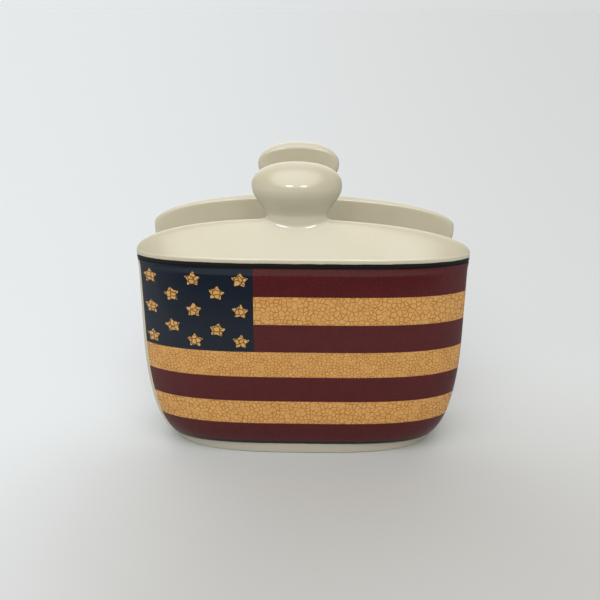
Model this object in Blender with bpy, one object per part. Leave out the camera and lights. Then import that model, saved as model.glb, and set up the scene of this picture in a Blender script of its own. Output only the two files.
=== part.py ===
"""A glazed earthenware napkin holder, modelled in metres with +Z up and its origin under the middle of its foot.

It is an oval canister that a wide slot cuts through from end to end. Two hollow cast halves stand on one oval
foot, with the floor of the slot between them. Each half is a body, a shoulder that slopes up from a rounded lip to an
arched ridge, and half of a waisted knob, and it carries a printed flag.
"""

import math

import bmesh
import bpy

# Sizes of the whole, and of the squared oval that it follows in plan, as if no slot were cut through it
HOLDER_LENGTH = 0.1600
OVAL_SQUARENESS = 3.5
HALF_DEPTH = 0.0142

# Sizes of the slot that the napkins stand in
SLOT_WIDTH = 0.0444
SLOT_FLOOR_HEIGHT = 0.0140
SLOT_FLOOR_EDGE = 0.0015
SLOT_FLOOR_END_INSET = 0.0018
SLOT_EDGE_RADIUS = 0.0020

# Sizes of the foot
FOOT_HEIGHT = 0.0057
FOOT_END_INSET = 0.0020
FOOT_FACE_INSET = 0.0006
FOOT_EDGE = 0.0008
FOOT_RIM_WIDTH = 0.0055
FOOT_RECESS = 0.0020

# Sizes of the body: its wall, and the round sweep under its ends and under its faces
WALL = 0.0040
BODY_TOP = 0.1030
END_SWEEP = 0.0180
END_SWEEP_TOP = 0.0605
FACE_SWEEP = 0.0060
FACE_SWEEP_TOP = 0.0245
SWEEP_TUCK = 0.0012
CAVITY_FLOOR = 0.0170

# Sizes of the groove under the lip, of the lip, and of the shoulder that slopes up from it to the ridge
GROOVE_DEPTH = 0.0008
GROOVE_HEIGHT = 0.0050
LIP_OVERHANG = 0.0006
LIP_UNDERSIDE = 0.0022
LIP_FACE = 0.0008
LIP_ROUND = 0.0018
LIP_TURN = math.radians(31)
SHOULDER_RISE = 0.0163
SHOULDER_POWER = 1.3
RIDGE_LEAN = 0.085
RIDGE_EDGE_RADIUS = 0.0029
POCKET_RISE = 0.0060
POCKET_TAPER = 0.0100

# Sizes of the half knobs, which sit a little to one side of the middle
KNOB_OFFSET = -0.0030
NECK_WIDTH = 0.0280
NECK_DEPTH = 0.0050
NECK_RISE = 0.0028
NECK_FLARE = 0.0042
NECK_FRONT_FLARE = 0.0010
KNOB_WIDTH = 0.0423
KNOB_DEPTH = 0.0128
KNOB_UNDERSIDE = 0.0132
KNOB_CROWN = 0.0114
KNOB_FLARE_POWER = 1.3
KNOB_FRONT_POWER = 1.6
KNOB_SIDE_EDGE_RADIUS = 0.0020
KNOB_TOP_EDGE_RADIUS = 0.0034

# Sizes of the printed flag: a thin sheet of seven stripes, with a canton over the upper ones
PRINT_THICKNESS = 0.0003
PRINT_BOTTOM_MARGIN = 0.0010
PRINT_TOP_MARGIN = 0.0010
STRIPE_COUNT = 7
STRIPE_TAPER = 0.075
FOOT_LINE_HEIGHT = 0.0011
CANTON_STRIPES = 3
CANTON_INNER_EDGE = 0.0226

# Gap left between pieces that are luted together
CLEARANCE = 0.0003

# How finely the curves are drawn
FACE_POINTS = 27
BARE_END_POINTS = 1
RIM_POINTS = 4
RIM_SHARE = 0.45
FOOT_POINTS = 56
FLOOR_END_POINTS = 9
FLOOR_ROWS = 4
FLOOR_EDGE_ROWS = 3
STRIPE_ROWS_IN_SWEEP = 3
LIP_UNDERSIDE_ROWS = 3
LIP_ROUND_ROWS = 2
SLOPE_ROWS = 7
FILLET_ROWS = 3
KNOB_ROWS = 7
CREASE_ANGLE = math.radians(40)

SLOT_HALF = SLOT_WIDTH / 2
OVAL_HALF_DEPTH = SLOT_HALF + HALF_DEPTH
FACE_EDGE = SLOT_HALF + SLOT_EDGE_RADIUS
LIP_END_SHARE = 1 - (FACE_EDGE / (OVAL_HALF_DEPTH + LIP_OVERHANG)) ** OVAL_SQUARENESS
OVAL_HALF_LENGTH = HOLDER_LENGTH / 2 / LIP_END_SHARE ** (1 / OVAL_SQUARENESS) - LIP_OVERHANG
BODY_BOTTOM = FOOT_HEIGHT + CLEARANCE
SWEEP_BOTTOM = FOOT_HEIGHT - SWEEP_TUCK
GROOVE_BOTTOM = BODY_TOP - GROOVE_HEIGHT
PRINT_BOTTOM = FOOT_HEIGHT + PRINT_BOTTOM_MARGIN
PRINT_TOP = BODY_TOP - PRINT_TOP_MARGIN
SHOULDER_BOTTOM = BODY_TOP + CLEARANCE
LIP_FACE_BOTTOM = BODY_TOP + LIP_UNDERSIDE
LIP_FACE_TOP = LIP_FACE_BOTTOM + LIP_FACE
LIP_LEVEL = LIP_FACE_TOP + LIP_ROUND * math.sin(LIP_TURN)
LIP_INSET = LIP_ROUND * (1 - math.cos(LIP_TURN))
NECK_LEVEL = LIP_LEVEL + SHOULDER_RISE + NECK_RISE
KNOB_BOTTOM = NECK_LEVEL + CLEARANCE
KNOB_LEVEL = NECK_LEVEL + KNOB_UNDERSIDE
KNOB_TOP = KNOB_LEVEL + KNOB_CROWN

CREAM = (0.73, 0.68, 0.53)
RED = (0.085, 0.012, 0.013)
GOLD = (0.60, 0.31, 0.09)
NAVY = (0.013, 0.021, 0.042)
BLACK = (0.011, 0.012, 0.012)
GLAZE_ROUGHNESS = 0.12
PRINT_ROUGHNESS = 0.15


def ease(share):
    """0 to 1 along half a cosine wave, level at both ends."""
    return (1 - math.cos(math.pi * share)) / 2


def sweep(height, depth, top):
    """How far a wall has swept inwards at a height: a quarter of an ellipse below top, cut off by the foot."""
    below = min(max((top - height) / (top - SWEEP_BOTTOM), 0), 1)
    return depth * (1 - math.sqrt(1 - below**2))


def oval_sizes(height):
    """Half length and half depth of the outside at a height, from the foot to the lip."""
    half_length = OVAL_HALF_LENGTH - sweep(height, END_SWEEP, END_SWEEP_TOP)
    half_depth = OVAL_HALF_DEPTH - sweep(height, FACE_SWEEP, FACE_SWEEP_TOP)
    if height > BODY_TOP:
        rise = ease(min((height - BODY_TOP) / LIP_UNDERSIDE, 1))
        grown = rise * (GROOVE_DEPTH + LIP_OVERHANG) - GROOVE_DEPTH
    else:
        grown = -GROOVE_DEPTH * ease(max((height - GROOVE_BOTTOM) / GROOVE_HEIGHT, 0))
    return half_length + grown, half_depth + grown


def oval_point(half_length, half_depth, angle):
    """A point (x, depth) of the squared oval. Angle 0 is the middle of a face, and a quarter turn is an end."""
    power = 2 / OVAL_SQUARENESS
    x = half_length * math.copysign(abs(math.sin(angle)) ** power, angle)
    return x, half_depth * math.cos(angle) ** power


def face_angles(half_depth, edge):
    """Angles along one face of the oval, from where its depth is edge at one end to the other end."""
    most = math.acos((edge / half_depth) ** (OVAL_SQUARENESS / 2))
    step = 2 * most / (FACE_POINTS - 1)
    return [step * (i - (FACE_POINTS - 1) / 2) for i in range(FACE_POINTS)]


def face_curve(height, edge, inset=0.0):
    """Points (x, depth, z) along one face of the body at a height, from end to end."""
    half_length, half_depth = oval_sizes(height)
    half_length -= inset
    half_depth -= inset
    angles = face_angles(half_depth, edge)
    return [(*oval_point(half_length, half_depth, angle), height) for angle in angles]


def oval_reach(share):
    """How far along the squared oval reaches on one axis, from 0 to 1, where it is at a share of the other axis."""
    return (1 - abs(share) ** OVAL_SQUARENESS) ** (1 / OVAL_SQUARENESS)


def shoulder_height(x, depth, edge):
    """Height of the shoulder over a point in plan. Its ridge is at the depth edge, and arches from end to end."""
    half_length, half_depth = oval_sizes(LIP_LEVEL)
    half_length -= LIP_INSET
    half_depth -= LIP_INSET
    along = x / (half_length * oval_reach(FACE_EDGE / half_depth))
    arch = SHOULDER_RISE * math.sqrt(max(1 - along**2, 0)) * (1 - RIDGE_LEAN * along)
    run = half_depth * oval_reach(x / half_length) - edge
    if run <= 0 or depth <= edge:
        return LIP_LEVEL + arch
    return LIP_LEVEL + arch * (1 - min((depth - edge) / run, 1) ** SHOULDER_POWER)


def knob_half_width(height):
    """Half width of the knob, from its neck to its top."""
    if height > KNOB_LEVEL:
        return KNOB_WIDTH / 2 * math.sqrt(max(1 - ((height - KNOB_LEVEL) / KNOB_CROWN) ** 2, 0))
    share = max((height - NECK_LEVEL) / KNOB_UNDERSIDE, 0)
    swell = math.sin(math.pi / 2 * share) ** KNOB_FLARE_POWER
    return NECK_WIDTH / 2 + (KNOB_WIDTH - NECK_WIDTH) / 2 * swell


def half_ellipse(half_width, depth, radius, height):
    """Points (x, depth, z) round the front of the knob's axis. Its ends are a rounded edge's radius off the slot."""
    edge = SLOT_HALF + radius
    points = []
    for i in range(FACE_POINTS):
        angle = math.pi * i / (FACE_POINTS - 1)
        y = edge + (depth - radius) * math.sin(angle)
        points.append((KNOB_OFFSET - half_width * math.cos(angle), y, height))
    return points


def knob_curve(height):
    """Points (x, depth, z) round the front of the knob at a height. Its crown leans back to the slot's edge."""
    half_width = knob_half_width(height)
    if height > KNOB_LEVEL:
        share = (height - KNOB_LEVEL) / KNOB_CROWN
        radius = KNOB_SIDE_EDGE_RADIUS + (KNOB_TOP_EDGE_RADIUS - KNOB_SIDE_EDGE_RADIUS) * share**2
        out = (1 - share**KNOB_FRONT_POWER) ** (1 / KNOB_FRONT_POWER)
        depth = radius + (KNOB_DEPTH - KNOB_SIDE_EDGE_RADIUS) * out
        return half_ellipse(half_width, depth, radius, height)
    swell = (half_width - NECK_WIDTH / 2) / (KNOB_WIDTH / 2 - NECK_WIDTH / 2)
    radius = RIDGE_EDGE_RADIUS + (KNOB_SIDE_EDGE_RADIUS - RIDGE_EDGE_RADIUS) * swell
    return half_ellipse(half_width, NECK_DEPTH + (KNOB_DEPTH - NECK_DEPTH) * swell, radius, height)


def body_heights():
    """Heights of the body's rows. The printed stripes' edges are among them."""
    edges = stripe_edges()
    heights = [BODY_BOTTOM, PRINT_BOTTOM]
    for low, high in zip(edges, edges[1:]):
        parts = STRIPE_ROWS_IN_SWEEP if low < FACE_SWEEP_TOP else 1
        heights += [low + (high - low) * i / parts for i in range(parts)]
    heights += [GROOVE_BOTTOM, PRINT_TOP, BODY_TOP]
    return heights


def stripe_edges():
    """Heights of the stripes' edges, from the bottom up. The stripes grow evenly towards the lip."""
    bottom = PRINT_BOTTOM + FOOT_LINE_HEIGHT
    mean = (PRINT_TOP - bottom) / STRIPE_COUNT
    middle = (STRIPE_COUNT - 1) / 2
    edges = [bottom]
    for i in range(STRIPE_COUNT):
        edges.append(edges[-1] + mean * (1 + STRIPE_TAPER * (i - middle) / middle))
    return edges


def part_way(first, second, in_plan, upward):
    """A curve between two others: in_plan is its share of the way in x and depth, and upward its share in z."""
    curve = []
    for (x0, y0, z0), (x1, y1, z1) in zip(first, second):
        curve.append((x0 + (x1 - x0) * in_plan, y0 + (y1 - y0) * in_plan, z0 + (z1 - z0) * upward))
    return curve


def shoulder_curves():
    """Front curves of the shoulder, from the groove over the lip and up the slope to the neck."""
    curves = []
    for i in range(LIP_UNDERSIDE_ROWS):
        height = SHOULDER_BOTTOM + (LIP_FACE_BOTTOM - SHOULDER_BOTTOM) * i / LIP_UNDERSIDE_ROWS
        curves.append(face_curve(height, FACE_EDGE))
    curves.append(face_curve(LIP_FACE_BOTTOM, FACE_EDGE))
    for i in range(LIP_ROUND_ROWS + 1):
        turn = LIP_TURN * i / LIP_ROUND_ROWS
        height = LIP_FACE_TOP + LIP_ROUND * math.sin(turn)
        curves.append(face_curve(height, FACE_EDGE, LIP_ROUND * (1 - math.cos(turn))))
    lip = curves[-1]
    foot_width = NECK_WIDTH / 2 + NECK_FLARE
    foot = half_ellipse(foot_width, NECK_DEPTH + NECK_FRONT_FLARE, RIDGE_EDGE_RADIUS, LIP_LEVEL)
    for row in range(1, SLOPE_ROWS + 1):
        plan = part_way(lip, foot, 1 - math.cos(math.pi / 2 * row / SLOPE_ROWS), 0)
        curves.append([(x, y, shoulder_height(x, y, plan[0][1])) for x, y, _ in plan])
    base = curves[-1]
    neck = knob_curve(NECK_LEVEL)
    for row in range(1, FILLET_ROWS + 1):
        turn = math.pi / 2 * row / FILLET_ROWS
        curves.append(part_way(base, neck, math.sin(turn), 1 - math.cos(turn)))
    return curves


def knob_curves():
    """Front curves of the knob, from the neck to just under its top."""
    curves = []
    for i in range(KNOB_ROWS):
        curves.append(knob_curve(KNOB_BOTTOM + (KNOB_LEVEL - KNOB_BOTTOM) * i / KNOB_ROWS))
    for i in range(KNOB_ROWS):
        curves.append(knob_curve(KNOB_LEVEL + KNOB_CROWN * math.sin(math.pi / 2 * i / KNOB_ROWS)))
    return curves


def outline_of(curves):
    """The half's outline in the slot's plane, as points (x, z): up one side, over the knob and down the other."""
    left = [(curve[0][0], curve[0][2]) for curve in curves]
    right = [(curve[-1][0], curve[-1][2]) for curve in curves]
    return left + [(KNOB_OFFSET, KNOB_TOP)] + right[::-1]


def distance_to(outline, x, z):
    """Least distance in the slot's plane from a point to an outline."""
    least = math.inf
    for (x0, z0), (x1, z1) in zip(outline, outline[1:]):
        along_x, along_z = x1 - x0, z1 - z0
        length = along_x**2 + along_z**2
        share = ((x - x0) * along_x + (z - z0) * along_z) / length if length else 0
        share = min(max(share, 0), 1)
        least = min(least, math.hypot(x - x0 - along_x * share, z - z0 - along_z * share))
    return least


def closed_row(curve, outline):
    """A closed loop: the front curve, then back along the slot's face, whose edge is rounded towards the outline."""
    (left, edge, z), (right, _, _) = curve[0], curve[-1]
    radius = edge - SLOT_HALF
    reach = min(radius, RIM_SHARE * (right - left))
    shares = [1 - math.cos(math.pi / 2 * (i + 1) / RIM_POINTS) for i in range(RIM_POINTS)]
    xs = [right - reach * share for share in shares] + [left + reach * share for share in shares[::-1]]
    back = []
    for x in xs:
        inside = min(distance_to(outline, x, z), radius)
        back.append((x, SLOT_HALF + radius - math.sqrt(radius**2 - (radius - inside) ** 2), z))
    return list(curve) + back


def cavity_row(height, inset):
    """A closed loop of the hollow inside a half, with as many points as closed_row's."""
    curve = face_curve(height, SLOT_HALF + inset, inset)
    (left, edge, _), (right, _, _) = curve[0], curve[-1]
    count = 2 * RIM_POINTS
    return curve + [(right + (left - right) * (i + 1) / (count + 1), edge, height) for i in range(count)]


def material(name, colour, roughness):
    """A Principled material."""
    made = bpy.data.materials.new(name)
    made.use_nodes = True
    shader = made.node_tree.nodes["Principled BSDF"]
    shader.inputs["Base Color"].default_value = (*colour, 1)
    shader.inputs["Roughness"].default_value = roughness
    shader.inputs["Metallic"].default_value = 0
    return made


def add_object(name, bm, materials):
    """The bmesh as an object of the scene, smooth but for its edges."""
    bmesh.ops.recalc_face_normals(bm, faces=bm.faces)
    mesh = bpy.data.meshes.new(name)
    bm.to_mesh(mesh)
    bm.free()
    mesh.shade_smooth()
    mesh.set_sharp_from_angle(angle=CREASE_ANGLE)
    for each in materials:
        mesh.materials.append(each)
    made = bpy.data.objects.new(name, mesh)
    bpy.context.scene.collection.objects.link(made)
    return made


def skin_rows(bm, rows):
    """Quads between loops of equal length, in order, and the loops' vertices."""
    loops = [[bm.verts.new(point) for point in row] for row in rows]
    for lower, upper in zip(loops, loops[1:]):
        for i in range(len(lower)):
            j = (i + 1) % len(lower)
            bm.faces.new((lower[i], lower[j], upper[j], upper[i]))
    return loops


def loft(name, rows, materials, side=1, top=None):
    """A solid skinned over closed loops. It ends in flat caps, or in a fan to the point top."""
    bm = bmesh.new()
    placed = [[(x, side * y, z) for x, y, z in row] for row in rows]
    loops = skin_rows(bm, placed)
    bm.faces.new(loops[0])
    if top is None:
        bm.faces.new(loops[-1])
    else:
        x, y, z = top
        apex = bm.verts.new((x, side * y, z))
        for i, vertex in enumerate(loops[-1]):
            bm.faces.new((vertex, loops[-1][(i + 1) % len(loops[-1])], apex))
    return add_object(name, bm, materials)


def make_foot(glaze):
    """The oval foot: a plate whose underside is recessed, so that it stands on its rim."""
    half_length, half_depth = oval_sizes(BODY_BOTTOM)
    half_length -= FOOT_END_INSET
    half_depth -= FOOT_FACE_INSET

    def ring(inset, height):
        points = []
        for i in range(FOOT_POINTS):
            turn = 2 * math.pi * i / FOOT_POINTS
            power = 2 / OVAL_SQUARENESS
            x = (half_length - inset) * math.copysign(abs(math.cos(turn)) ** power, math.cos(turn))
            y = (half_depth - inset) * math.copysign(abs(math.sin(turn)) ** power, math.sin(turn))
            points.append((x, y, height))
        return points

    rows = [
        ring(FOOT_RIM_WIDTH + FOOT_RECESS, FOOT_RECESS),
        ring(FOOT_RIM_WIDTH, 0),
        ring(FOOT_EDGE, 0),
        ring(0, FOOT_EDGE),
        ring(0, FOOT_HEIGHT),
    ]
    loft("foot", rows, [glaze])


def make_slot_floor(glaze):
    """The floor that the napkins stand on. It fills the space between the bodies, and its ends follow the oval."""
    half_width = SLOT_HALF - CLEARANCE
    step = 2 * half_width / (FLOOR_END_POINTS - 1)

    def ring(height, inset):
        half_length, half_depth = oval_sizes(height)
        right = []
        for i in range(FLOOR_END_POINTS):
            y = step * i - half_width
            reach = half_length * oval_reach(y / half_depth)
            right.append((reach - SLOT_FLOOR_END_INSET - inset, y, height))
        return right + [(-x, y, z) for x, y, z in right[::-1]]

    level = SLOT_FLOOR_HEIGHT - SLOT_FLOOR_EDGE
    rows = [ring(BODY_BOTTOM + (level - BODY_BOTTOM) * i / FLOOR_ROWS, 0) for i in range(FLOOR_ROWS + 1)]
    for i in range(1, FLOOR_EDGE_ROWS + 1):
        turn = math.pi / 2 * i / FLOOR_EDGE_ROWS
        rows.append(ring(level + SLOT_FLOOR_EDGE * math.sin(turn), SLOT_FLOOR_EDGE * (1 - math.cos(turn))))
    loft("slot_floor", rows, [glaze])


def make_half(name, side, glaze):
    """One half: its body, the shoulder luted on at the groove, and the half knob luted on at the neck."""
    body = [face_curve(height, FACE_EDGE) for height in body_heights()]
    shoulder = shoulder_curves()
    knob = knob_curves()
    outline = outline_of(body + shoulder + knob)

    cavity_heights = [BODY_TOP, END_SWEEP_TOP, (CAVITY_FLOOR + END_SWEEP_TOP) / 2, CAVITY_FLOOR]
    cavity = [cavity_row(height, WALL) for height in cavity_heights]
    loft(f"{name}_body", [closed_row(curve, outline) for curve in body] + cavity, [glaze], side)

    pocket_mouth = cavity_row(SHOULDER_BOTTOM, WALL)
    pocket_top = []
    for x, y, z in pocket_mouth:
        pocket_top.append((x - math.copysign(min(POCKET_TAPER, abs(x)), x), y, z + POCKET_RISE))
    pocket = [pocket_top, pocket_mouth]
    loft(f"{name}_shoulder", pocket + [closed_row(curve, outline) for curve in shoulder], [glaze], side)

    crown = (KNOB_OFFSET, SLOT_HALF + KNOB_TOP_EDGE_RADIUS, KNOB_TOP)
    loft(f"{name}_knob", [closed_row(curve, outline) for curve in knob], [glaze], side, top=crown)


def make_print(name, side, inks):
    """The printed flag, a thin sheet round the face of a body. Each stripe has its own ink."""
    edges = stripe_edges()
    heights = [height for height in body_heights() if PRINT_BOTTOM <= height <= PRINT_TOP]
    stand_off = CLEARANCE + PRINT_THICKNESS
    canton_bottom = edges[STRIPE_COUNT - CANTON_STRIPES]
    bm = bmesh.new()
    grid = []
    for height in heights:
        half_length, half_depth = oval_sizes(height)
        angles = face_angles(half_depth, FACE_EDGE)[BARE_END_POINTS : FACE_POINTS - BARE_END_POINTS]
        points = [oval_point(half_length + stand_off, half_depth + stand_off, angle) for angle in angles]
        grid.append([bm.verts.new((x, side * y, height)) for x, y in points])
    for lower, upper in zip(grid, grid[1:]):
        for i in range(len(lower) - 1):
            face = bm.faces.new((lower[i], lower[i + 1], upper[i + 1], upper[i]))
            middle = face.calc_center_median()
            stripe = sum(middle.z > level for level in edges[1:])
            in_canton = middle.z > canton_bottom and side * middle.x > CANTON_INNER_EDGE
            if middle.z < edges[0]:
                face.material_index = inks.index("black_line")
            elif in_canton:
                face.material_index = inks.index("navy_print")
            else:
                face.material_index = inks.index("gold_print" if stripe % 2 else "red_print")
    if side > 0:
        bmesh.ops.reverse_faces(bm, faces=bm.faces)
    mesh = bpy.data.meshes.new(name)
    bm.to_mesh(mesh)
    bm.free()
    mesh.shade_smooth()
    for ink in inks:
        mesh.materials.append(bpy.data.materials[ink])
    made = bpy.data.objects.new(name, mesh)
    bpy.context.scene.collection.objects.link(made)
    thick = made.modifiers.new("thickness", "SOLIDIFY")
    thick.thickness = PRINT_THICKNESS
    thick.offset = -1


def make_holder():
    """The whole holder, from the foot up."""
    for old in list(bpy.data.objects):
        bpy.data.objects.remove(old)
    glaze = material("cream_glaze", CREAM, GLAZE_ROUGHNESS)
    inks = ["red_print", "gold_print", "navy_print", "black_line"]
    for ink, colour in zip(inks, (RED, GOLD, NAVY, BLACK)):
        material(ink, colour, PRINT_ROUGHNESS)
    make_foot(glaze)
    make_slot_floor(glaze)
    for name, side in (("front", -1), ("rear", 1)):
        make_half(name, side, glaze)
        make_print(f"{name}_flag_print", side, inks)


make_holder()
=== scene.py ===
"""The looks of a glazed earthenware napkin holder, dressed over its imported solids.

All sizes are in metres.
"""

import math

import bmesh
import bpy
import numpy as np
from mathutils import Matrix, Vector


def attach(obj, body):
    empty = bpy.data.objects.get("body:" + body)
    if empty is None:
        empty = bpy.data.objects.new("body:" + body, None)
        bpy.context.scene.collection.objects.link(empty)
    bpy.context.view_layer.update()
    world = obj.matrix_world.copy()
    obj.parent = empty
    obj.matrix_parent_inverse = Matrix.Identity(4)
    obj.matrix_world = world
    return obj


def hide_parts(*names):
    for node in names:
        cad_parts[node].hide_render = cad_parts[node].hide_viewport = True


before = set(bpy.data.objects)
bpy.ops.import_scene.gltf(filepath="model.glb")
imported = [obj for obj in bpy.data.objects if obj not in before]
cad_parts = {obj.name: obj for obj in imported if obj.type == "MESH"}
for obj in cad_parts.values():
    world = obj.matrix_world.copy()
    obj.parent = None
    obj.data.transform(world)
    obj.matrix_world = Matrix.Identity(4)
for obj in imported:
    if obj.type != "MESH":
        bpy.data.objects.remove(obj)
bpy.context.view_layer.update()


# The camera
# It stands in front of the holder and above it, and looks down at the printed face.
# Its picture is 600 px wide, and its focal length is 800 px.

CAMERA_PLACE = Vector((0.0038, -0.3901, 0.2235))
CAMERA_TILT = math.radians(21.14)
CAMERA_TURN = math.radians(0.79)
CAMERA_ROLL = math.radians(0.32)
SENSOR_WIDTH = 36.0
PICTURE_PIXELS = 600
FOCAL_PIXELS = 800
NEAREST_SEEN = 0.01

camera_lens = bpy.data.cameras.new("camera")
camera_lens.sensor_fit = "HORIZONTAL"
camera_lens.sensor_width = SENSOR_WIDTH
camera_lens.lens = SENSOR_WIDTH * FOCAL_PIXELS / PICTURE_PIXELS
camera_lens.clip_start = NEAREST_SEEN
camera = bpy.data.objects.new("camera", camera_lens)
bpy.context.scene.collection.objects.link(camera)
aim = Matrix.Rotation(CAMERA_TURN, 4, "Z") @ Matrix.Rotation(math.pi / 2 - CAMERA_TILT, 4, "X")
camera.matrix_world = Matrix.Translation(CAMERA_PLACE) @ aim @ Matrix.Rotation(CAMERA_ROLL, 4, "Z")
bpy.context.scene.camera = camera


# The foot
# A short oval foot of white earthenware, cast with the holder and dipped in the same cream glaze, which
# pools, thins over the edges and has faint stains. A dark line is painted above the foot and in the
# groove under the lip. The foot's lower edge is wiped round, and it stands on a rim. The foot is painted
# darker as painted shade, and a paler line along the lip's rounded edge is a painted highlight.

GLAZE_CREAM = (0.465, 0.428, 0.314, 1)
GLAZE_POOLED = (0.430, 0.390, 0.274, 1)
GLAZE_THIN = (0.475, 0.445, 0.350, 1)
GLAZE_STAIN = (0.270, 0.232, 0.132, 1)
PAINTED_FOOT_SHADE = (0.350, 0.330, 0.275, 1)
PAINTED_LIP_HIGHLIGHT = (0.560, 0.530, 0.430, 1)
GLAZE_GLOSS = 0.055
GLAZE_RIPPLE = 0.10
GLAZE_IOR = 1.52
GLAZE_SHINE = 0.5

# A pattern of clouds is its scale per metre, its detail and its roughness.
SMEAR_CLOUDS = (38.0, 4.0, 0.62)
SMEAR_DULLING = 0.10
PIT_CLOUDS = (900.0, 2.0, 0.5)
PIT_EDGES = (0.70, 0.78)
PIT_DULLING = 0.10
PIT_DEPTH = 0.05
WAVE_CLOUDS = (55.0, 2.0, 0.4)
WAVE_HEIGHT = 0.001
POOL_CLOUDS = (24.0, 4.0, 0.55)
POOL_EDGES = (0.35, 0.75)
POOL_STRENGTH = 0.55
THIN_EDGES = (0.15, 0.85)
THIN_STRENGTH = 0.6
STAIN_CLOUDS = (75.0, 5.0, 0.66)
STAIN_EDGES = (0.58, 0.74)
STAINED_CLOUDS = (17.0, 2.0, 0.5)
STAINED_EDGES = (0.42, 0.65)
STAIN_STRENGTH = 0.40
SPECK_CLOUDS = (620.0, 2.0, 0.5)
SPECK_EDGES = (0.735, 0.77)
SPECK_STRENGTH = 0.35
FOOT_SHADE_STRENGTH = 0.6

SLOT_HALF = 0.0222
LINE_BLACK = (0.004, 0.004, 0.004, 1)
GROOVE_LINE = (0.1017, 0.1049)
FOOT_LINE = (0.0059, 0.0079)
LIP_HIGHLIGHT_BAND = (0.1065, 0.1071)
LIP_HIGHLIGHT_STRENGTH = 0.6
LINE_CLOUDS = (160.0, 2.0, 0.5)
LINE_WAVER = 0.0006
LINE_SOFTNESS = 0.00022
LINE_DULLED = 0.7
LINE_ENDS = (SLOT_HALF + 0.0006, SLOT_HALF + 0.0012)

OVAL_SQUARENESS = 3.5
FOOT_SQUARENESS = 2.8
FOOT_HALF_LENGTH = 0.0696
FOOT_HALF_DEPTH = 0.0321
FOOT_HEIGHT = 0.0057
FOOT_EDGE = 0.0009
FOOT_EDGE_STEPS = 4
FOOT_RIM_WIDTH = 0.0055
FOOT_RECESS = 0.0020
FOOT_POINTS = 180
CREASE_ANGLE = math.radians(50)
LEVEL_NORMAL = 0.9
UPRIGHT_NORMAL = 0.1


def shader_node(tree, kind, **settings):
    """A new node in a tree, with settings such as its operation."""
    made = tree.nodes.new(kind)
    for name, value in settings.items():
        setattr(made, name, value)
    return made


def feed(tree, socket, value):
    """Gives an input socket another node's output, or a plain value."""
    if isinstance(value, bpy.types.NodeSocket):
        tree.links.new(value, socket)
    else:
        socket.default_value = value


def calc(tree, operation, *values):
    """The output of a Math node."""
    made = shader_node(tree, "ShaderNodeMath", operation=operation)
    for socket, value in zip(made.inputs, values):
        feed(tree, socket, value)
    return made.outputs["Value"]


def fade(tree, value, start, end):
    """0 before start, 1 after end, and a smooth step between them."""
    made = shader_node(tree, "ShaderNodeMapRange", interpolation_type="SMOOTHSTEP")
    feed(tree, made.inputs["Value"], value)
    feed(tree, made.inputs["From Min"], start)
    feed(tree, made.inputs["From Max"], end)
    return made.outputs["Result"]


def between(tree, value, low, high, softness):
    """1 where a value is between low and high, and 0 elsewhere."""
    above = fade(tree, value, low - softness, low + softness)
    below = fade(tree, value, high + softness, high - softness)
    return calc(tree, "MULTIPLY", above, below)


def blend_colours(tree, share, first, second):
    """The first colour where share is 0, and the second where it is 1."""
    made = shader_node(tree, "ShaderNodeMix", data_type="RGBA")
    feed(tree, made.inputs["Factor"], share)
    for socket, colour in zip([end for end in made.inputs if end.type == "RGBA"], (first, second)):
        feed(tree, socket, colour)
    return next(end for end in made.outputs if end.type == "RGBA")


def tint(tree, mask, strength, first, second):
    """The first colour, taken some of the way to the second where a mask is 1."""
    return blend_colours(tree, calc(tree, "MULTIPLY", mask, strength), first, second)


def clouds(tree, place, scale, detail=3.0, roughness=0.5):
    """A noise between 0 and 1 at a scale per metre."""
    made = shader_node(tree, "ShaderNodeTexNoise")
    feed(tree, made.inputs["Vector"], place)
    made.inputs["Scale"].default_value = scale
    made.inputs["Detail"].default_value = detail
    made.inputs["Roughness"].default_value = roughness
    return made.outputs["Fac"]


def new_group(name, inputs, outputs):
    """An empty shader node group: its tree, its inputs and the sockets that take its outputs."""
    tree = bpy.data.node_groups.new(name, "ShaderNodeTree")
    for label, kind in inputs.items():
        tree.interface.new_socket(label, in_out="INPUT", socket_type=kind)
    for label, kind in outputs.items():
        tree.interface.new_socket(label, in_out="OUTPUT", socket_type=kind)
    entry = tree.nodes.new("NodeGroupInput")
    return tree, entry.outputs, tree.nodes.new("NodeGroupOutput").inputs


def place_group(tree, group, **values):
    """The outputs of a group placed in another tree, with its inputs set."""
    made = shader_node(tree, "ShaderNodeGroup", node_tree=group)
    for name, value in values.items():
        feed(tree, made.inputs[name], value)
    return made.outputs


def new_material(name):
    """A material, its tree and its Principled shader."""
    made = bpy.data.materials.new(name)
    made.use_nodes = True
    return made, made.node_tree, made.node_tree.nodes["Principled BSDF"]


def split(tree, vector):
    """The X, Y and Z outputs of a vector."""
    made = shader_node(tree, "ShaderNodeSeparateXYZ")
    feed(tree, made.inputs["Vector"], vector)
    return made.outputs


glaze_surface, given, result = new_group(
    "glaze_surface",
    {"Place": "NodeSocketVector", "Gloss": "NodeSocketFloat", "Ripple": "NodeSocketFloat"},
    {"Roughness": "NodeSocketFloat", "Normal": "NodeSocketVector"},
)
smears = clouds(glaze_surface, given["Place"], *SMEAR_CLOUDS)
pits = fade(glaze_surface, clouds(glaze_surface, given["Place"], *PIT_CLOUDS), *PIT_EDGES)
dulled = calc(glaze_surface, "MULTIPLY_ADD", smears, SMEAR_DULLING, given["Gloss"])
dulled = calc(glaze_surface, "MULTIPLY_ADD", pits, PIT_DULLING, dulled)
feed(glaze_surface, result["Roughness"], dulled)
waves = clouds(glaze_surface, given["Place"], *WAVE_CLOUDS)
ripple = shader_node(glaze_surface, "ShaderNodeBump")
ripple.inputs["Distance"].default_value = WAVE_HEIGHT
feed(glaze_surface, ripple.inputs["Strength"], given["Ripple"])
feed(glaze_surface, ripple.inputs["Height"], calc(glaze_surface, "MULTIPLY_ADD", pits, -PIT_DEPTH, waves))
feed(glaze_surface, result["Normal"], ripple.outputs["Normal"])

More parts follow.
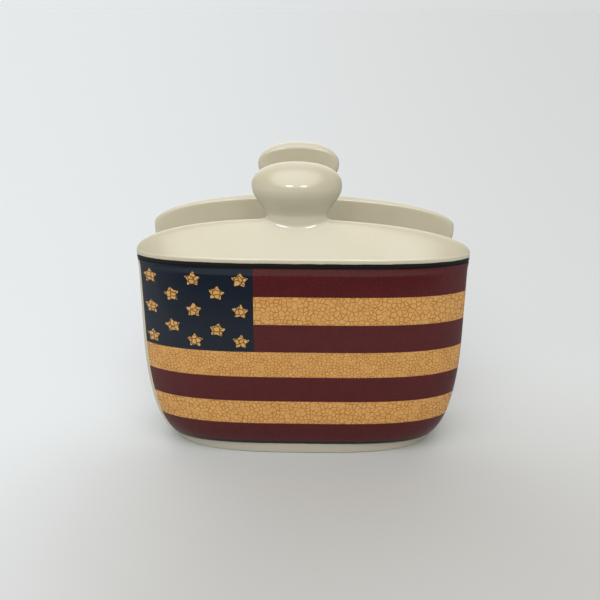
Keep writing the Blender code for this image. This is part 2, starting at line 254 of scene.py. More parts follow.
cream_glaze, tree, shader = new_material("cream_glaze")
place = shader_node(tree, "ShaderNodeTexCoord").outputs["Object"]
axes = split(tree, place)

pooled = fade(tree, clouds(tree, place, *POOL_CLOUDS), *POOL_EDGES)
colour = tint(tree, pooled, POOL_STRENGTH, GLAZE_CREAM, GLAZE_POOLED)
worn = shader_node(tree, "ShaderNodeAttribute", attribute_name="edge_wear").outputs["Fac"]
colour = tint(tree, fade(tree, worn, *THIN_EDGES), THIN_STRENGTH, colour, GLAZE_THIN)
stains = fade(tree, clouds(tree, place, *STAIN_CLOUDS), *STAIN_EDGES)
stained = fade(tree, clouds(tree, place, *STAINED_CLOUDS), *STAINED_EDGES)
colour = tint(tree, calc(tree, "MULTIPLY", stains, stained), STAIN_STRENGTH, colour, GLAZE_STAIN)
# Painted shade: the glaze is painted darker on the foot, where the body above shades it.
foot_shade = fade(tree, axes["Z"], FOOT_HEIGHT + LINE_WAVER, FOOT_HEIGHT - LINE_WAVER)
colour = tint(tree, foot_shade, FOOT_SHADE_STRENGTH, colour, PAINTED_FOOT_SHADE)
specks = fade(tree, clouds(tree, place, *SPECK_CLOUDS), *SPECK_EDGES)
colour = tint(tree, specks, SPECK_STRENGTH, colour, GLAZE_STAIN)

waver = calc(tree, "MULTIPLY_ADD", clouds(tree, place, *LINE_CLOUDS), LINE_WAVER, -LINE_WAVER / 2)
painted = calc(tree, "ADD", axes["Z"], waver)
# Painted highlight: a paler band along the lip's rounded edge, outside the slot.
lip_highlight = between(tree, painted, *LIP_HIGHLIGHT_BAND, LINE_SOFTNESS)
groove_line = between(tree, painted, *GROOVE_LINE, LINE_SOFTNESS)
foot_line = between(tree, painted, *FOOT_LINE, LINE_SOFTNESS)
outside = fade(tree, calc(tree, "ABSOLUTE", axes["Y"]), *LINE_ENDS)
colour = tint(tree, calc(tree, "MULTIPLY", lip_highlight, outside), LIP_HIGHLIGHT_STRENGTH, colour, PAINTED_LIP_HIGHLIGHT)
lines = calc(tree, "MULTIPLY", calc(tree, "ADD", groove_line, foot_line), outside)
feed(tree, shader.inputs["Base Color"], blend_colours(tree, lines, colour, LINE_BLACK))

surface = place_group(tree, glaze_surface, Place=place, Gloss=GLAZE_GLOSS, Ripple=GLAZE_RIPPLE)
feed(tree, shader.inputs["Roughness"], surface["Roughness"])
feed(tree, shader.inputs["Normal"], surface["Normal"])
shader.inputs["IOR"].default_value = GLAZE_IOR
dull_line = calc(tree, "MULTIPLY_ADD", lines, -LINE_DULLED * GLAZE_SHINE, GLAZE_SHINE)
feed(tree, shader.inputs["Specular IOR Level"], dull_line)


def squared_oval(half_length, half_depth, turn, squareness=OVAL_SQUARENESS):
    """A point of a squared oval. A turn of 0 is its end at +X."""
    power = 2 / squareness
    x = half_length * math.copysign(abs(math.cos(turn)) ** power, math.cos(turn))
    y = half_depth * math.copysign(abs(math.sin(turn)) ** power, math.sin(turn))
    return x, y


def oval_reach(share):
    """How far a squared oval reaches on one axis, 0 to 1, at a share of its other axis."""
    return (1 - abs(share) ** OVAL_SQUARENESS) ** (1 / OVAL_SQUARENESS)


def finish_piece(name, bm, finish, nodes):
    """A bmesh made a smooth piece of the holder, with its finish and slot. It stands for CAD nodes."""
    mesh = bpy.data.meshes.new(name)
    bm.to_mesh(mesh)
    bm.free()
    mesh.shade_smooth()
    mesh.set_sharp_from_angle(angle=CREASE_ANGLE)
    mesh.materials.append(finish)
    piece = bpy.data.objects.new(name, mesh)
    bpy.context.scene.collection.objects.link(piece)
    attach(piece, "root")
    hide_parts(*nodes)
    return piece


def facing_down(bm):
    """The level faces of a bmesh's underside."""
    return [face for face in bm.faces if face.normal.z < -LEVEL_NORMAL]


bm = bmesh.new()
outline = bmesh.ops.create_circle(bm, cap_ends=True, segments=FOOT_POINTS, radius=1)
for corner in outline["verts"]:
    turn = math.atan2(corner.co.y, corner.co.x)
    corner.co = (*squared_oval(FOOT_HALF_LENGTH, FOOT_HALF_DEPTH, turn, FOOT_SQUARENESS), 0)
raised = bmesh.ops.extrude_face_region(bm, geom=bm.faces[:], use_keep_orig=True)
lifted = [part for part in raised["geom"] if isinstance(part, bmesh.types.BMVert)]
bmesh.ops.translate(bm, verts=lifted, vec=(0, 0, FOOT_HEIGHT))
bmesh.ops.recalc_face_normals(bm, faces=bm.faces)
sole = facing_down(bm)
rim = bmesh.ops.inset_region(bm, faces=sole, thickness=FOOT_RIM_WIDTH, use_even_offset=True)["faces"]
hollow = [face for face in facing_down(bm) if face not in rim]
bmesh.ops.inset_region(bm, faces=hollow, thickness=FOOT_RECESS, depth=-FOOT_RECESS, use_even_offset=True)
lower_edge = [line for line in bm.edges if all(corner.co.z == 0 for corner in line.verts)]
lower_edge = [
    line for line in lower_edge if any(abs(face.normal.z) < UPRIGHT_NORMAL for face in line.link_faces)
]
bmesh.ops.bevel(
    bm,
    geom=lower_edge,
    offset=FOOT_EDGE,
    segments=FOOT_EDGE_STEPS,
    profile=0.5,
    affect="EDGES",
    material=-1,
)
finish_piece("foot_ring", bm, cream_glaze, ["foot"])


# The floor of the slot
# The napkins stand on it. It is glazed earthenware, cast with both halves, so its long edges sweep up
# into their faces, and its open ends are rounded over.

FLOOR_HEIGHT = 0.0140
FLOOR_COVE = 0.0032
FLOOR_END_ROUND = 0.0022
FLOOR_END_INSET = 0.0018
FLOOR_OVERLAP = 0.0004
FLOOR_ROWS = 72
FLOOR_END_POINTS = 12
CLAY_OVERLAP = 0.0003
SAME_PLACE = 1e-7
BODY_HALF_LENGTH = 0.0856
BODY_HALF_DEPTH = 0.0364
END_SWEEP = 0.0180
END_SWEEP_TOP = 0.0605
FACE_SWEEP = 0.0060
FACE_SWEEP_TOP = 0.0245
SWEEP_BOTTOM = 0.0045
GROOVE_LEVEL = 0.1030
GROOVE_DEPTH = 0.0008
GROOVE_HEIGHT = 0.0050
LIP_LEVEL = 0.1052
LIP_OVERHANG = 0.0004
LIP_FRONT_OVERHANG = 0.0006


def ease(share):
    """0 to 1 along half a cosine wave."""
    return (1 - math.cos(math.pi * min(max(share, 0), 1))) / 2


def swept_in(height, depth, top):
    """How far a wall has swept in at a height, below the top of its sweep."""
    below = min(max((top - height) / (top - SWEEP_BOTTOM), 0), 1)
    return depth * (1 - math.sqrt(1 - below**2))


def oval_at(height):
    """Half length and half depth of the body's oval at a height, without the groove."""
    lipped = ease((height - GROOVE_LEVEL + GROOVE_HEIGHT) / (LIP_LEVEL - GROOVE_LEVEL + GROOVE_HEIGHT))
    half_length = BODY_HALF_LENGTH + LIP_OVERHANG * lipped - swept_in(height, END_SWEEP, END_SWEEP_TOP)
    half_depth = BODY_HALF_DEPTH + LIP_FRONT_OVERHANG * lipped
    half_depth -= swept_in(height, FACE_SWEEP, FACE_SWEEP_TOP)
    return half_length, half_depth


def groove_at(height):
    """How deep the groove under the lip is at a height."""
    above = ease((height - GROOVE_LEVEL) / (LIP_LEVEL - GROOVE_LEVEL))
    return GROOVE_DEPTH * (ease((height - GROOVE_LEVEL) / GROOVE_HEIGHT + 1) - above)


def wrap_grid(rows):
    """A bmesh grid wrapped onto rows of points, with each row's end joined to its start."""
    bm = bmesh.new()
    across = len(rows[0])
    bmesh.ops.create_grid(bm, x_segments=across, y_segments=len(rows) - 1, size=1)
    for i, vertex in enumerate(bm.verts):
        row, column = divmod(i, across + 1)
        vertex.co = rows[row][column % across]
    return bm


def close_up(bm):
    """Joins a wrapped grid's seam, fills its open ends and turns its faces outwards."""
    bmesh.ops.remove_doubles(bm, verts=bm.verts, dist=SAME_PLACE)
    bmesh.ops.holes_fill(bm, edges=[line for line in bm.edges if line.is_boundary])
    bmesh.ops.recalc_face_normals(bm, faces=bm.faces)


def floor_end(y):
    """Points (x, z) round the floor's end at a depth, from the foot up to its flat top."""
    cove = min(max(abs(y) - (SLOT_HALF - FLOOR_COVE), 0), FLOOR_COVE)
    top = FLOOR_HEIGHT + FLOOR_COVE - math.sqrt(FLOOR_COVE**2 - cove**2)
    bottom = FOOT_HEIGHT - CLAY_OVERLAP
    points = []
    for height in np.linspace(bottom, top - FLOOR_END_ROUND, FLOOR_END_POINTS):
        half_length, half_depth = oval_at(height)
        points.append((half_length * oval_reach(y / half_depth) - FLOOR_END_INSET, height))
    x, z = points[-1]
    for turn in np.linspace(0, math.pi / 2, FLOOR_END_POINTS)[1:]:
        inwards = FLOOR_END_ROUND * (1 - math.cos(turn))
        points.append((x - inwards, z + FLOOR_END_ROUND * math.sin(turn)))
    return points


floor_rows = []
for turn in np.linspace(-math.pi / 2, math.pi / 2, FLOOR_ROWS + 1):
    y = (SLOT_HALF + FLOOR_OVERLAP) * math.sin(turn)
    end = floor_end(max(min(y, SLOT_HALF), -SLOT_HALF))
    floor_rows.append([(x, y, z) for x, z in end] + [(-x, y, z) for x, z in reversed(end)])
bm = wrap_grid(floor_rows)
close_up(bm)
finish_piece("slot_bed", bm, cream_glaze, ["slot_floor"])


# The two halves
# Each is one hollow earthenware casting: a panel with a flat face on the slot, a lip over a groove, a
# shoulder that slopes up to an arched ridge, and half of a waisted knob. The clay was fettled before it
# was glazed, so every edge of the slot's face is soft.

PANEL_EDGE = 0.0015
RIDGE_EDGE = 0.0029
KNOB_SIDE_EDGE = 0.0020
KNOB_TOP_EDGE = 0.0038
LIP_FACE = 0.0008
LIP_ROUND = 0.0018
LIP_TURN = math.radians(31)
RIDGE_LEVEL = 0.1232
RIDGE_LEAN = 0.085
RIDGE_FLAT = 0.06
SHOULDER_POWER = 1.3
KNOB_OFFSET = -0.0030
NECK_LEVEL = 0.1252
NECK_HALF_WIDTH = 0.0140
NECK_DEPTH = 0.0063
NECK_FLARE = 0.0042
NECK_FRONT_FLARE = 0.0022
KNOB_LEVEL = 0.1392
KNOB_TOP = 0.1506
KNOB_HALF_WIDTH = 0.02115
KNOB_DEPTH = 0.0142
KNOB_FLARE_POWER = 1.43
KNOB_SIDE_POWER = 2.2
KNOB_FRONT_POWER = 1.6
FACE_COLUMNS = 168
BACK_COLUMNS = 44
SWEEP_ROWS = 16
PANEL_ROWS = 26
GROOVE_ROWS = 9
LIP_ROWS = 8
SHOULDER_ROWS = 40
NECK_ROWS = 14
KNOB_ROWS = 25
FETTLE_WIDTH = 0.0026
FETTLE_PASSES = 6
FETTLE_STRENGTH = 0.5
TINY = 1e-9


def panel_row(height, inset=0.0):
    """Points round the front of a half's panel at a height. An inset moves its face in, not its ends."""
    half_length, half_depth = oval_at(height)
    end = half_length * oval_reach((SLOT_HALF + PANEL_EDGE) / half_depth)
    half_depth -= inset
    half_length = end / oval_reach((SLOT_HALF + PANEL_EDGE) / half_depth)
    most = math.acos(((SLOT_HALF + PANEL_EDGE) / half_depth) ** (OVAL_SQUARENESS / 2))
    row = []
    for share in np.linspace(-1, 1, FACE_COLUMNS + 1):
        turn = math.copysign(most * abs(share) ** (OVAL_SQUARENESS / 2), share)
        row.append((*squared_oval(half_length, half_depth, math.pi / 2 - turn), height))
    return row


def round_row(half_width, depth, edge, height):
    """Points round the front of the neck or the knob, from its left side to its right."""
    row = []
    for turn in np.linspace(0, math.pi, FACE_COLUMNS + 1):
        y = SLOT_HALF + edge + (depth - edge) * math.sin(turn)
        row.append((KNOB_OFFSET - half_width * math.cos(turn), y, height))
    return row


def onto_shoulder(row, lip):
    """A row moved up onto the shoulder, which slopes from the lip to the ridge along the slot."""
    x, y, _ = np.array(row).T
    lip_x, lip_y, lip_z = np.array(lip).T
    along = x / lip_x[-1]
    arch = (RIDGE_LEVEL - lip_z) * np.sqrt(np.maximum(1 - along**2, 0)) * (1 - RIDGE_LEAN * along)
    run = np.maximum(np.interp(x, lip_x, lip_y) - y[0], TINY)
    out = np.clip((y - y[0]) / run, 0, 1)
    fall = (out**2 * (1 + RIDGE_FLAT) / (out + RIDGE_FLAT)) ** SHOULDER_POWER
    return list(zip(x, y, lip_z + arch * (1 - fall)))


def between_rows(first, second, share):
    """A row part of the way from one row to another."""
    return (1 - share) * np.array(first) + share * np.array(second)


def knob_row(height):
    """A row of the knob, which swells out of the neck up to a dome that leans back to the slot."""
    if height > KNOB_LEVEL:
        share = min((height - KNOB_LEVEL) / (KNOB_TOP - KNOB_LEVEL), 1)
        half_width = KNOB_HALF_WIDTH * (1 - share**KNOB_SIDE_POWER) ** (1 / KNOB_SIDE_POWER)
        edge = KNOB_SIDE_EDGE + (KNOB_TOP_EDGE - KNOB_SIDE_EDGE) * share**2
        out = (1 - share**KNOB_FRONT_POWER) ** (1 / KNOB_FRONT_POWER)
        return round_row(half_width, edge + (KNOB_DEPTH - KNOB_SIDE_EDGE) * out, edge, height)
    share = (height - NECK_LEVEL) / (KNOB_LEVEL - NECK_LEVEL)
    swell = math.sin(math.pi / 2 * share) ** KNOB_FLARE_POWER
    half_width = NECK_HALF_WIDTH + (KNOB_HALF_WIDTH - NECK_HALF_WIDTH) * swell
    edge = RIDGE_EDGE + (KNOB_SIDE_EDGE - RIDGE_EDGE) * swell
    return round_row(half_width, NECK_DEPTH + (KNOB_DEPTH - NECK_DEPTH) * swell, edge, height)


panel_heights = [
    *np.linspace(FOOT_HEIGHT - CLAY_OVERLAP, FACE_SWEEP_TOP, SWEEP_ROWS)[:-1],
    *np.linspace(FACE_SWEEP_TOP, GROOVE_LEVEL - GROOVE_HEIGHT, PANEL_ROWS)[:-1],
    *np.linspace(GROOVE_LEVEL - GROOVE_HEIGHT, GROOVE_LEVEL, GROOVE_ROWS)[:-1],
    *np.linspace(GROOVE_LEVEL, LIP_LEVEL, GROOVE_ROWS),
]
front_rows = [panel_row(height, groove_at(height)) for height in panel_heights]
for turn in np.linspace(0, LIP_TURN, LIP_ROWS):
    height = LIP_LEVEL + LIP_FACE + LIP_ROUND * math.sin(turn)
    front_rows.append(panel_row(height, LIP_ROUND * (1 - math.cos(turn))))
lip_row = front_rows[-1]
flared_width = NECK_HALF_WIDTH + NECK_FLARE
neck_foot = round_row(flared_width, NECK_DEPTH + NECK_FRONT_FLARE, RIDGE_EDGE, RIDGE_LEVEL)
for turn in np.linspace(0, math.pi / 2, SHOULDER_ROWS)[1:]:
    front_rows.append(onto_shoulder(between_rows(lip_row, neck_foot, 1 - math.cos(turn)), lip_row))
neck_foot = front_rows[-1]
neck_row = knob_row(NECK_LEVEL)
under_neck = onto_shoulder(neck_row, lip_row)
for share in np.linspace(0, 1, NECK_ROWS)[1:]:
    inwards = between_rows(neck_foot, under_neck, share)
    upwards = between_rows(under_neck, neck_row, share)
    front_rows.append([tuple(point) for point in between_rows(inwards, upwards, share)])
for height in np.linspace(NECK_LEVEL, KNOB_LEVEL, KNOB_ROWS)[1:]:
    front_rows.append(knob_row(height))
for turn in np.linspace(0, math.pi / 2, KNOB_ROWS)[1:]:
    front_rows.append(knob_row(KNOB_LEVEL + (KNOB_TOP - KNOB_LEVEL) * math.sin(turn)))

left_side = [(row[0][0], row[0][2]) for row in front_rows]
right_side = [(row[-1][0], row[-1][2]) for row in front_rows]
half_outline = np.array(left_side + right_side[::-1])


def inside_outline(x, z):
    """Distances in the slot's plane from points to the half's outline."""
    start = half_outline[:-1]
    step = np.diff(half_outline, axis=0)
    length = np.maximum((step**2).sum(1), TINY**2)
    point = np.stack([x, z], 1)[:, None]
    share = np.clip(((point - start) * step).sum(2) / length, 0, 1)
    return np.linalg.norm(point - start - share[..., None] * step, axis=2).min(1)


def slot_row(front):
    """Points along a half's slot face, from the right end of its front row back to the left."""
    left, edge, left_height = front[0]
    right, _, right_height = front[-1]
    shares = 0.5 + 0.5 * np.cos(np.linspace(0, math.pi, BACK_COLUMNS + 2)[1:-1])
    x = left + (right - left) * shares
    z = left_height + (right_height - left_height) * shares
    radius = edge - SLOT_HALF
    inside = np.minimum(inside_outline(x, z), radius)
    return list(zip(x, edge - np.sqrt(radius**2 - (radius - inside) ** 2), z))


def wear_along(row):
    """How near a row's points are to the slot face's edge: 1 on it, and 0 a tool's width away."""
    points = np.array(row)
    front = points[: FACE_COLUMNS + 1]
    back = points[FACE_COLUMNS + 1 :]
    away = np.linalg.norm(front[:, None] - front[[0, -1]], axis=2).min(1)
    away = np.concatenate([away, inside_outline(back[:, 0], back[:, 2])])
    return np.clip(1 - away / FETTLE_WIDTH, 0, 1)


half_rows = [front + slot_row(front) for front in front_rows]
half_wear = [wear_along(row) for row in half_rows]


def cast_half(side):
    """One half as a bmesh, whose points keep their row and column. Side -1 is the front, 1 the rear."""
    bm = wrap_grid([[(x, side * y, z) for x, y, z in row] for row in half_rows])
    edge_wear = bm.verts.layers.float.new("edge_wear")
    row_number = bm.verts.layers.int.new("row")
    column_number = bm.verts.layers.int.new("column")
    across = len(half_rows[0])
    for i, vertex in enumerate(bm.verts):
        row, column = divmod(i, across + 1)
        vertex[row_number] = row
        vertex[column_number] = column % across
        vertex[edge_wear] = half_wear[row][column % across]
    bmesh.ops.remove_doubles(bm, verts=bm.verts, dist=SAME_PLACE)
    fettled = [vertex for vertex in bm.verts if vertex[edge_wear] > 0 and vertex[row_number] > 0]
    for _ in range(FETTLE_PASSES):
        bmesh.ops.smooth_vert(
            bm, verts=fettled, factor=FETTLE_STRENGTH, use_axis_x=True, use_axis_y=True, use_axis_z=True
        )
    close_up(bm)
    return bm


castings = {}
for name, side in (("front", -1), ("rear", 1)):
    nodes = [f"{name}_body", f"{name}_shoulder", f"{name}_knob"]
    castings[name] = finish_piece(f"{name}_casting", cast_half(side), cream_glaze, nodes)


# The printed flags
# A traditional flag with thirteen stars on each half, printed as a transfer in red, gold and navy and
# fired on under clear glaze. The print is crackled all over, and it ends just short of the panel's ends.

PRINT_BOTTOM = 0.0072
PRINT_TOP = 0.1026
PRINT_HALF_LENGTH = 0.0830
PRINT_START = -0.0804
PRINT_START_LEAN = 0.022
PRINT_STAND_OFF = 0.00020
PRINT_THICKNESS = 0.00010
PRINT_RISE = 0.0009
PRINT_RISE_TOP = 0.075
PRINT_RISE_FADE = 0.02
PRINT_RISE_POWER = 4
PRINT_SOFTNESS = 0.00012
PRINT_SHINE = 0.35
BAND_EDGE = 0.1021
STRIPE_EDGES = (0.0083, 0.0199, 0.0324, 0.0459, 0.0593, 0.0738, 0.0880)
CANTON_EDGE = -0.02335
CANTON_BOTTOM = STRIPE_EDGES[-3]
STAR_GRID = range(-2, 3)
STAR_COLUMN_SPACING = 0.0113
STAR_ROW_SPACING = 0.0079
STAR_MIDDLE = Vector((-0.0522, 0.0803, 0))
STAR_POINTS = 5
STAR_RADIUS = 0.0044
STAR_NOTCH = 0.56
STAR_TIP = 0.90
STAR_SQUAT = 1.13
STAR_NUDGES = {
    (1, -1): (0.0004, -0.0005),
    (1, 1): (0.0, 0.0012),
    (-1, -1): (0.0003, -0.0010),
    (-1, 1): (0.0, -0.0020),
    (2, -2): (0.0004, -0.0005),
    (0, -2): (0.0005, -0.0003),
    (-2, -2): (0.0005, -0.0003),
}
STAR_TILT = 0.16
STAR_TILT_ROW = 3.1
STAR_TILT_COLUMN = 1.7
STAR_RAGGED = 0.0009
STAR_RAGGED_SCALE = 420.0
STAR_EDGES = (1.04, 0.96)
STAR_HALO_EDGES = (1.22, 1.08)
STAR_HALO_STRENGTH = 0.8
PRINT_RED = (0.068, 0.0040, 0.0050, 1)
PRINT_RED_DARK = (0.040, 0.0022, 0.0029, 1)
PRINT_GOLD = (0.500, 0.255, 0.068, 1)
PRINT_GOLD_PALE = (0.550, 0.315, 0.102, 1)
PRINT_GOLD_CRACK = (0.250, 0.080, 0.0100, 1)
PRINT_NAVY = (0.0012, 0.0058, 0.0155, 1)
PRINT_NAVY_DARK = (0.0006, 0.0026, 0.0078, 1)
STAR_CRACK = (0.030, 0.018, 0.008, 1)
NOISE_MIDDLE = (0.5, 0.5, 0.5)
CRACK_WANDER = 0.0016
CRACK_WANDER_SCALE = 260.0
CRACK_WIDTH_CLOUDS = (180.0, 3.0, 0.6)
CRACK_WIDTH_LEAST = 0.45
CRACK_CORE = 0.25
WIDE_CRACKS = {"Density": 445.0, "Width": 0.155}
FINE_CRACKS = {"Density": 590.0, "Width": 0.160}
STAR_CRACKS = {"Density": 430.0, "Width": 0.170}
CRACKED_CLOUDS = (210.0, 2.0, 0.5)
CRACKED_EDGES = (0.20, 0.55)
CRACK_STRENGTH = 0.80
NAVY_CRACK_STRENGTH = 0.6
STAR_CRACK_STRENGTH = 0.9
SHARD_STRENGTH = 0.7
MOTTLE_CLOUDS = (130.0, 4.0, 0.6)
MOTTLE_EDGES = (0.4, 0.7)
MOTTLE_STRENGTH = 0.4
GOLD_MOTTLE_EDGES = (0.5, 0.8)
GOLD_MOTTLE_STRENGTH = 0.25

crackle, given, result = new_group(
    "crackle",
    {"Place": "NodeSocketVector", "Density": "NodeSocketFloat", "Width": "NodeSocketFloat"},
    {"Lines": "NodeSocketFloat", "Shard": "NodeSocketFloat"},
)


def ragged_place(tree, place, scale, reach):
    """A place on the print, moved about by up to a reach in a noise's pattern."""
    noise = shader_node(tree, "ShaderNodeTexNoise")
    feed(tree, noise.inputs["Vector"], place)
    noise.inputs["Scale"].default_value = scale
    centred = shader_node(tree, "ShaderNodeVectorMath", operation="SUBTRACT")
    feed(tree, centred.inputs[0], noise.outputs["Color"])
    centred.inputs[1].default_value = NOISE_MIDDLE
    moved = shader_node(tree, "ShaderNodeVectorMath", operation="MULTIPLY_ADD")
    feed(tree, moved.inputs[0], centred.outputs["Vector"])
    moved.inputs[1].default_value = (reach, reach, 0)
    feed(tree, moved.inputs[2], place)
    return moved.outputs["Vector"]


wandering = ragged_place(crackle, given["Place"], CRACK_WANDER_SCALE, CRACK_WANDER)
cells = shader_node(crackle, "ShaderNodeTexVoronoi", feature="DISTANCE_TO_EDGE")
shards = shader_node(crackle, "ShaderNodeTexVoronoi", feature="F1")
for texture in (cells, shards):
    texture.voronoi_dimensions = "2D"
    feed(crackle, texture.inputs["Vector"], wandering)
    feed(crackle, texture.inputs["Scale"], given["Density"])
uneven = clouds(crackle, given["Place"], *CRACK_WIDTH_CLOUDS)
width = calc(crackle, "MULTIPLY", given["Width"], calc(crackle, "ADD", uneven, CRACK_WIDTH_LEAST))
lines = fade(crackle, cells.outputs["Distance"], width, calc(crackle, "MULTIPLY", width, CRACK_CORE))
feed(crackle, result["Lines"], lines)
tone = shader_node(crackle, "ShaderNodeSeparateColor")
feed(crackle, tone.inputs["Color"], shards.outputs["Color"])
feed(crackle, result["Shard"], tone.outputs["Red"])

star, given, result = new_group(
    "star",
    {"Place": "NodeSocketVector", "Centre": "NodeSocketVector", "Turn": "NodeSocketFloat"},
    {"Reach": "NodeSocketFloat"},
)
offset = shader_node(star, "ShaderNodeVectorMath", operation="SUBTRACT")
feed(star, offset.inputs[0], given["Place"])
feed(star, offset.inputs[1], given["Centre"])
squat = shader_node(star, "ShaderNodeVectorMath", operation="MULTIPLY")
feed(star, squat.inputs[0], offset.outputs["Vector"])
squat.inputs[1].default_value = (1, STAR_SQUAT, 1)
length = shader_node(star, "ShaderNodeVectorMath", operation="LENGTH")
feed(star, length.inputs[0], squat.outputs["Vector"])
distance = calc(star, "DIVIDE", length.outputs["Value"], STAR_RADIUS)
direction = split(star, squat.outputs["Vector"])
heading = calc(star, "ARCTAN2", direction["X"], direction["Y"])
notch_turn = math.pi / STAR_POINTS
folded = calc(star, "PINGPONG", calc(star, "ADD", heading, given["Turn"]), notch_turn)
slope = math.atan2(1 - STAR_NOTCH * math.cos(notch_turn), STAR_NOTCH * math.sin(notch_turn))
facing = calc(star, "COSINE", calc(star, "SUBTRACT", folded, slope))
facing = calc(star, "DIVIDE", facing, math.cos(slope))
pointed = calc(star, "MULTIPLY", distance, facing)
feed(star, result["Reach"], calc(star, "MAXIMUM", pointed, calc(star, "DIVIDE", distance, STAR_TIP)))

flag_print, tree, shader = new_material("flag_print")
place = shader_node(tree, "ShaderNodeUVMap", uv_map="flag").outputs["UV"]
axes = split(tree, place)


def past(axis, edge):
    """1 on the print beyond an edge on an axis, and 0 before it."""
    return fade(tree, axes[axis], edge - PRINT_SOFTNESS, edge + PRINT_SOFTNESS)


wide = place_group(tree, crackle, Place=place, **WIDE_CRACKS)
fine = place_group(tree, crackle, Place=place, **FINE_CRACKS)
coarse = calc(tree, "SUBTRACT", 1.0, past("Y", STRIPE_EDGES[2]))
coarse = calc(tree, "MAXIMUM", coarse, past("Y", STRIPE_EDGES[-2]))
wide_lines = calc(tree, "MULTIPLY", wide["Lines"], coarse)
fine_lines = calc(tree, "MULTIPLY", fine["Lines"], calc(tree, "SUBTRACT", 1.0, coarse))
cracks = calc(tree, "MAXIMUM", wide_lines, fine_lines)
cracked = fade(tree, clouds(tree, place, *CRACKED_CLOUDS), *CRACKED_EDGES)
cracks = calc(tree, "MULTIPLY", cracks, cracked)
cloudy = clouds(tree, place, *MOTTLE_CLOUDS)
mottled = fade(tree, cloudy, *MOTTLE_EDGES)
gold = tint(tree, fine["Shard"], SHARD_STRENGTH, PRINT_GOLD, PRINT_GOLD_PALE)
gold_mottled = fade(tree, cloudy, *GOLD_MOTTLE_EDGES)
gold = tint(tree, gold_mottled, GOLD_MOTTLE_STRENGTH, gold, PRINT_GOLD_CRACK)
gold_stripe = tint(tree, cracks, CRACK_STRENGTH, gold, PRINT_GOLD_CRACK)
red_stripe = tint(tree, cracks, CRACK_STRENGTH, PRINT_RED, PRINT_RED_DARK)
red_stripe = tint(tree, mottled, MOTTLE_STRENGTH, red_stripe, PRINT_RED_DARK)
navy = tint(tree, fine["Lines"], NAVY_CRACK_STRENGTH, PRINT_NAVY, PRINT_NAVY_DARK)
navy = tint(tree, mottled, MOTTLE_STRENGTH, navy, PRINT_NAVY_DARK)

colour = LINE_BLACK
for number, edge in enumerate(STRIPE_EDGES):
    colour = blend_colours(tree, past("Y", edge), colour, gold_stripe if number % 2 else red_stripe)
beside_canton = past("X", CANTON_EDGE)
before_edge = calc(tree, "SUBTRACT", 1.0, beside_canton)
in_canton = calc(tree, "MULTIPLY", past("Y", CANTON_BOTTOM), before_edge)
colour = blend_colours(tree, in_canton, colour, navy)
colour = blend_colours(tree, past("Y", BAND_EDGE), colour, LINE_BLACK)

star_place = ragged_place(tree, place, STAR_RAGGED_SCALE, STAR_RAGGED)
reaches = []
for row in STAR_GRID:
    for column in STAR_GRID:
        if (row + column) % 2 == 0:
            centre = STAR_MIDDLE + Vector((column * STAR_COLUMN_SPACING, row * STAR_ROW_SPACING, 0))
            centre += Vector((*STAR_NUDGES.get((row, column), (0, 0)), 0))
            tilt = STAR_TILT * math.sin(STAR_TILT_ROW * row + STAR_TILT_COLUMN * column)
            placed = place_group(tree, star, Place=star_place, Centre=centre, Turn=tilt)
            reaches.append(placed["Reach"])
nearest = reaches[0]
for reach in reaches[1:]:
    nearest = calc(tree, "MINIMUM", nearest, reach)
halo = fade(tree, nearest, *STAR_HALO_EDGES)
colour = tint(tree, halo, STAR_HALO_STRENGTH, colour, PRINT_NAVY_DARK)
star_cracks = place_group(tree, crackle, Place=place, **STAR_CRACKS)
star_gold = tint(tree, star_cracks["Lines"], STAR_CRACK_STRENGTH, gold, STAR_CRACK)
colour = blend_colours(tree, fade(tree, nearest, *STAR_EDGES), colour, star_gold)
slanted = calc(tree, "MULTIPLY_ADD", axes["Y"], PRINT_START_LEAN, axes["X"])
slanted_start = PRINT_START + PRINT_START_LEAN * PRINT_TOP
begun = fade(tree, slanted, slanted_start - PRINT_SOFTNESS, slanted_start + PRINT_SOFTNESS)
feed(tree, shader.inputs["Base Color"], blend_colours(tree, begun, GLAZE_CREAM, colour))

glazed_place = shader_node(tree, "ShaderNodeTexCoord").outputs["Object"]
surface = place_group(tree, glaze_surface, Place=glazed_place, Gloss=GLAZE_GLOSS, Ripple=GLAZE_RIPPLE)
feed(tree, shader.inputs["Roughness"], surface["Roughness"])
feed(tree, shader.inputs["Normal"], surface["Normal"])
shader.inputs["IOR"].default_value = GLAZE_IOR
shader.inputs["Specular IOR Level"].default_value = PRINT_SHINE

upright_row = np.array(panel_row(END_SWEEP_TOP))[:, :2]
column_across = np.concatenate([[0], np.cumsum(np.linalg.norm(np.diff(upright_row, axis=0), axis=1))])
column_across -= column_across[-1] / 2


def print_on(casting, side):
    """The print as a bmesh: the face that it covers, lifted off a half and given its thickness."""
    bm = bmesh.new()
    bm.from_mesh(casting.data)
    row_number = bm.verts.layers.int["row"]
    column_number = bm.verts.layers.int["column"]
    flag = bm.loops.layers.uv.new("flag")

    def covered(vertex):
        if vertex[column_number] > FACE_COLUMNS or vertex[row_number] >= len(panel_heights):
            return False
        if abs(column_across[vertex[column_number]]) > PRINT_HALF_LENGTH:
            return False
        return PRINT_BOTTOM < panel_heights[vertex[row_number]] < PRINT_TOP

    bare = [face for face in bm.faces if not all(covered(vertex) for vertex in face.verts)]
    bmesh.ops.delete(bm, geom=bare, context="FACES")
    for face in bm.faces:
        for loop in face.loops:
            sideways = -side * column_across[loop.vert[column_number]]
            height = panel_heights[loop.vert[row_number]]
            rise = PRINT_RISE * (sideways / PRINT_HALF_LENGTH) ** PRINT_RISE_POWER
            rise *= ease((PRINT_RISE_TOP - height) / PRINT_RISE_FADE)
            loop[flag].uv = (sideways, height - rise)
    for vertex in bm.verts:
        vertex.co += vertex.normal * PRINT_STAND_OFF
    bmesh.ops.solidify(bm, geom=bm.faces[:], thickness=PRINT_THICKNESS)
    return bm


